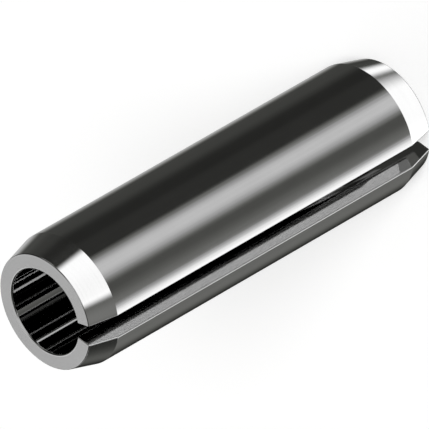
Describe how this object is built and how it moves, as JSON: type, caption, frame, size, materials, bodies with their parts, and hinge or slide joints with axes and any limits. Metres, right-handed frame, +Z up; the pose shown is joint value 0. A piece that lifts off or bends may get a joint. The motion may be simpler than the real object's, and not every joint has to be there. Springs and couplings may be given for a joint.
{
  "type": "spring roll pin",
  "caption": "Tubular spring pin rolled from steel strip, with a gap along its whole length and tapered ends; driven into a drilled hole, it grips by springing open.",
  "frame": {"origin": "middle of the lower end face, on the pin's axis", "axes": "+Z up along the pin's axis, which stands on its lower end; the lengthwise gap faces -Y; +X completes the right-handed frame"},
  "size_m": [0.0066, 0.0066, 0.0222],
  "materials": {
    "spring_steel": "bare spring steel, rolled and tumbled to a semi-bright finish"
  },
  "bodies": {
    "root": {"spring_pin": "spring_steel"}
  },
  "joints": []
}
